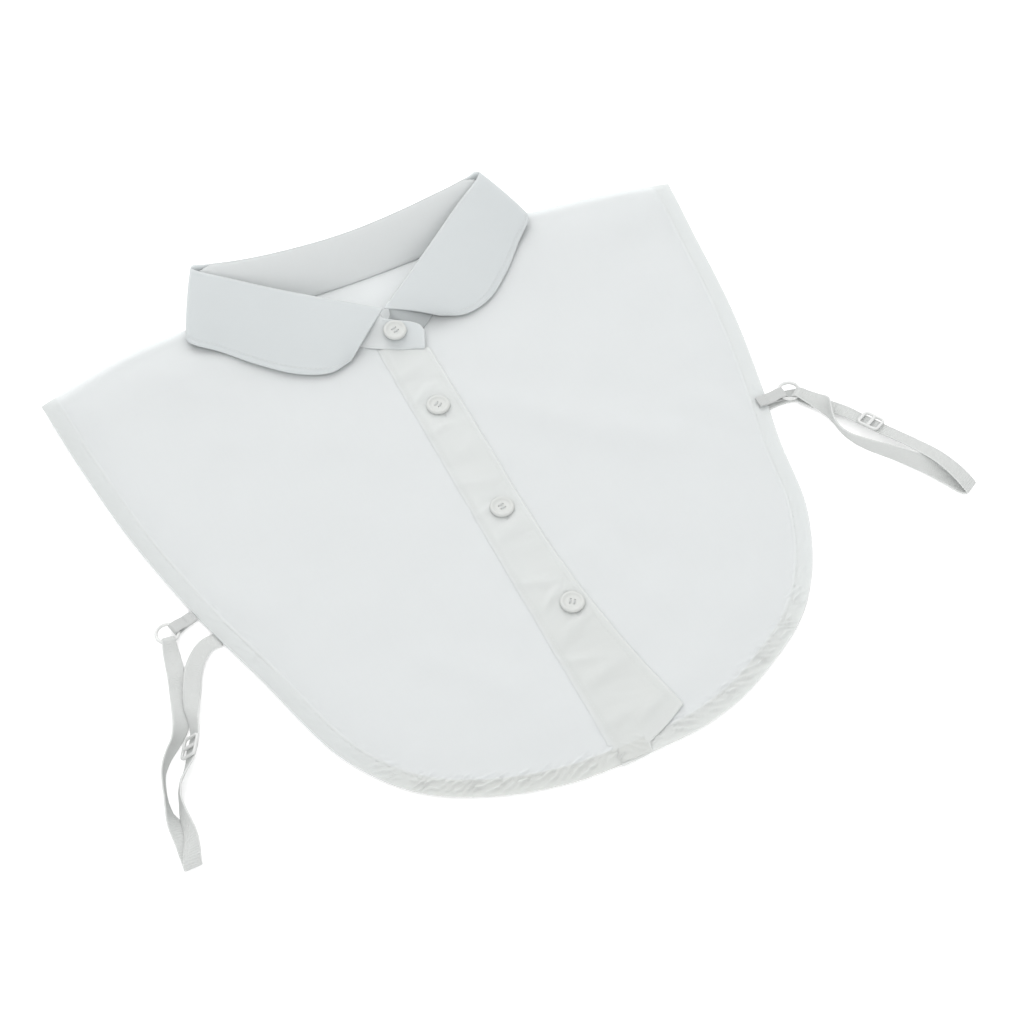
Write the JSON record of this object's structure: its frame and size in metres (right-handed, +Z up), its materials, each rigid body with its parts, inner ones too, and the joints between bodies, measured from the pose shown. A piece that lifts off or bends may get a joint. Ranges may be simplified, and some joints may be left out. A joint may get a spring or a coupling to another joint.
{
  "type": "detachable collar",
  "caption": "Detachable shirt collar with rounded points on a short buttoned bib, held at each side by an adjustable elastic strap with a ring and a slide.",
  "frame": {"origin": "on the underside of the back panel, under the middle of the bib, in the plane of the table that the collar lies on", "axes": "+X to the right as seen from the front of the collar, +Y towards the neck, +Z up from the table"},
  "size_m": [0.4358, 0.359, 0.0246],
  "materials": {
    "poplin": "plain-woven white cotton, matt",
    "collar_cloth": "stiffened white cotton, matt",
    "elastic": "ribbed white elastic",
    "ribbon": "white ribbon",
    "button": "pearly white",
    "ring": "milky white, a little translucent"
  },
  "bodies": {
    "root": {"back_panel": "poplin", "front_panel_left": "poplin", "front_panel_right": "poplin", "placket": "poplin", "collar_stand": "collar_cloth", "collar_fall": "collar_cloth", "button_stand": "button", "button_upper": "button", "button_middle": "button", "button_lower": "button", "elastic_left": "elastic", "elastic_right": "elastic", "ring_left": "ring", "ring_right": "ring", "tab_left": "ribbon", "tab_right": "ribbon", "slide_left": "ring", "slide_right": "ring"}
  },
  "joints": []
}
